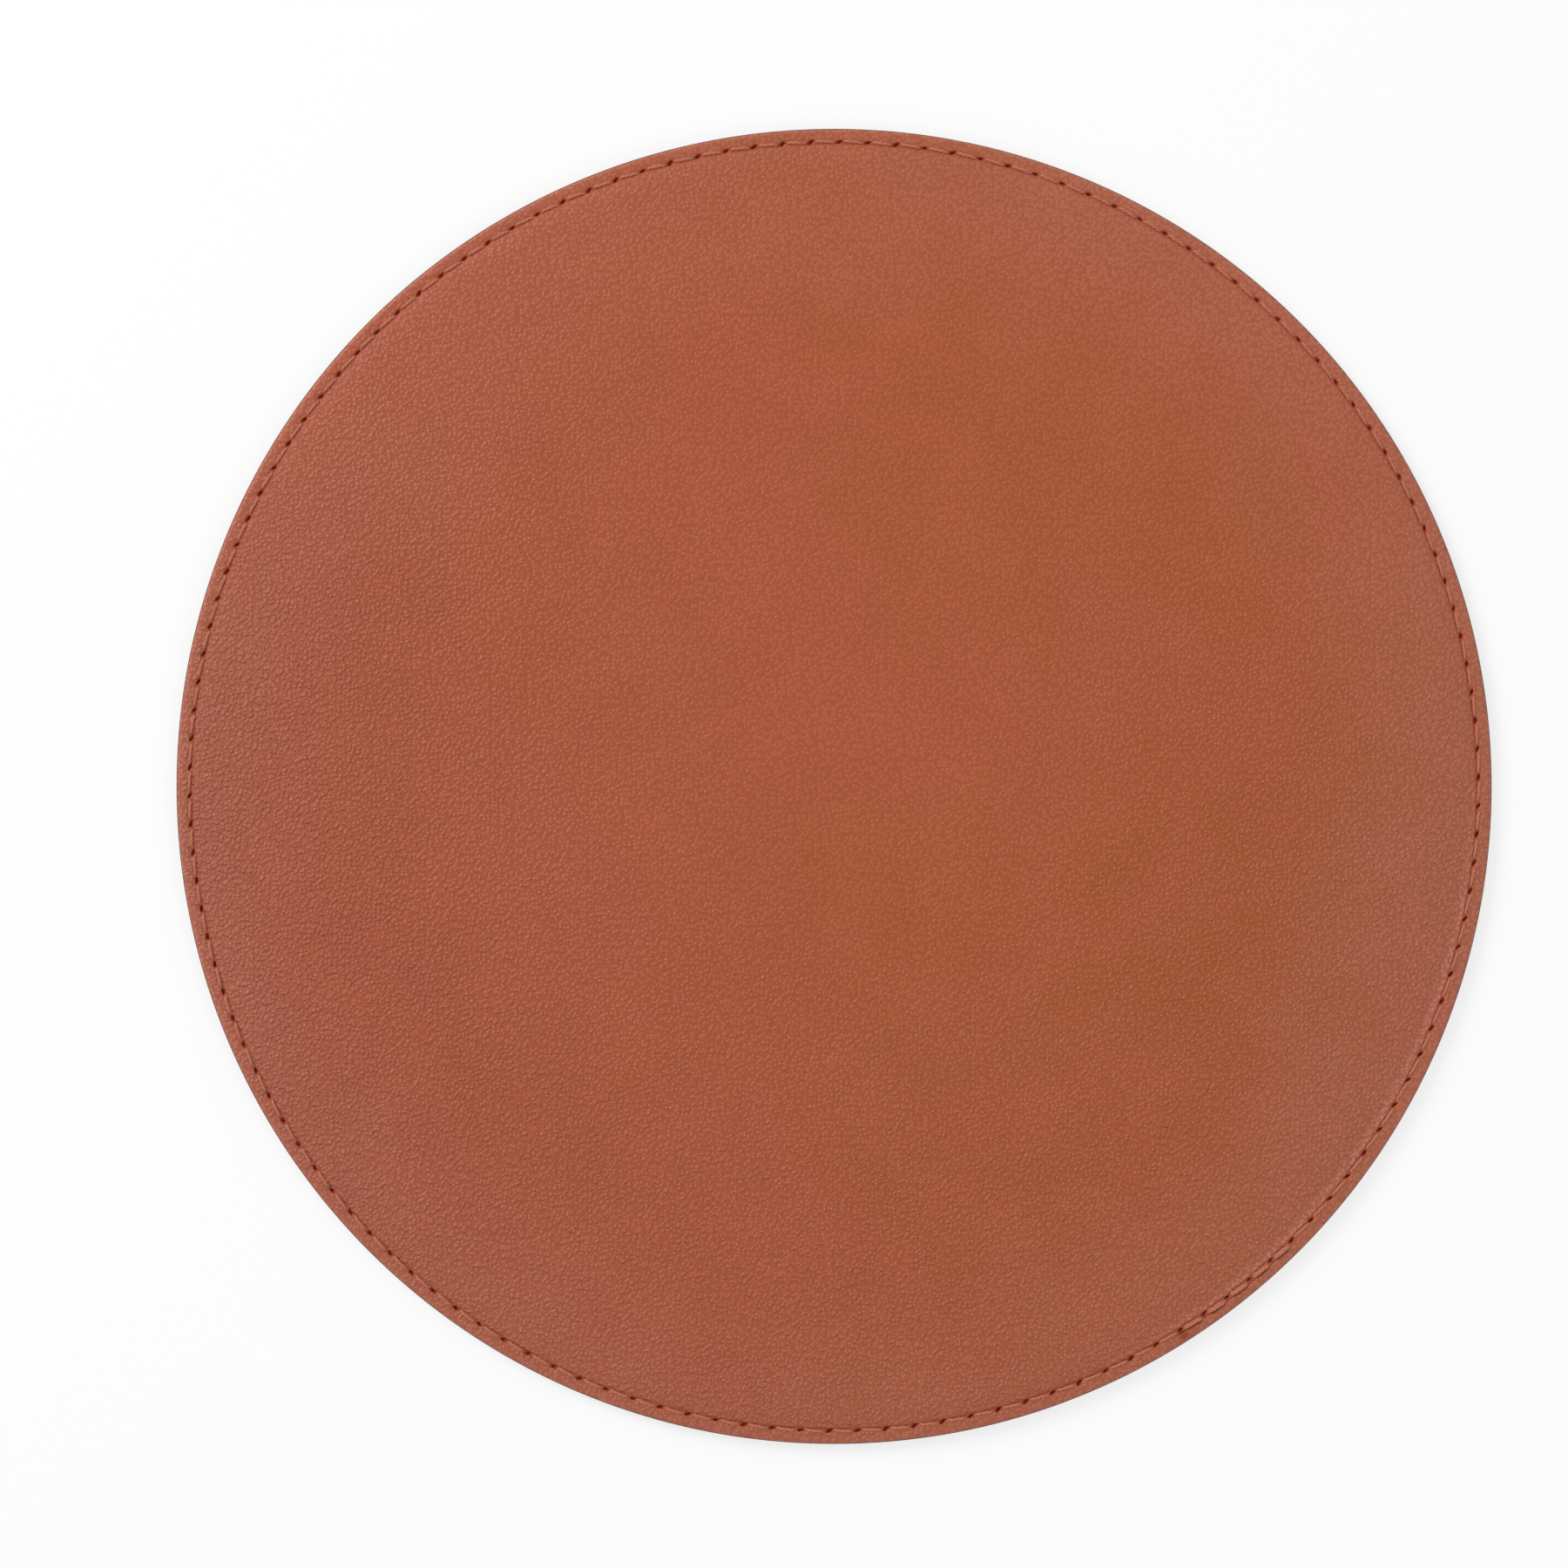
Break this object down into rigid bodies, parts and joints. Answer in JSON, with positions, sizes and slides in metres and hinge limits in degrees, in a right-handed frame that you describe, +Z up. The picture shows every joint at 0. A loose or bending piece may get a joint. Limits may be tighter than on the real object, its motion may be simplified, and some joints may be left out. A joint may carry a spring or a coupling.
{
  "type": "mouse pad",
  "caption": "Round stitched mouse pad: a leather-look top and a suede base sewn together round a thin stiff core, with a flat field to work a mouse on.",
  "frame": {"origin": "Centre of the underside, in the plane that lies on the desk.", "axes": "+Z up through the thickness, out of the leather field. +X to the right and +Y away from the user, as the picture from straight above shows them."},
  "size_m": [0.2, 0.2, 0.0025],
  "materials": {
    "top_leather": "terracotta leather-look skin with a fine pebbled grain and a low satin sheen",
    "base_suede": "short-napped dark brown suede, matte, non-slip",
    "stiffener_board": "plain tan fibre board, matte",
    "glue_film": "dried cream-coloured glue film",
    "needle_yarn": "twisted polyester thread, a shade lighter than the leather",
    "bobbin_yarn": "twisted polyester thread, brown"
  },
  "bodies": {
    "root": {"base_cover": "base_suede", "base_adhesive": "glue_film", "core_board": "stiffener_board", "top_adhesive": "glue_film", "border_adhesive": "glue_film", "top_cover": "top_leather", "needle_thread": "needle_yarn", "bobbin_thread": "bobbin_yarn"}
  },
  "joints": []
}
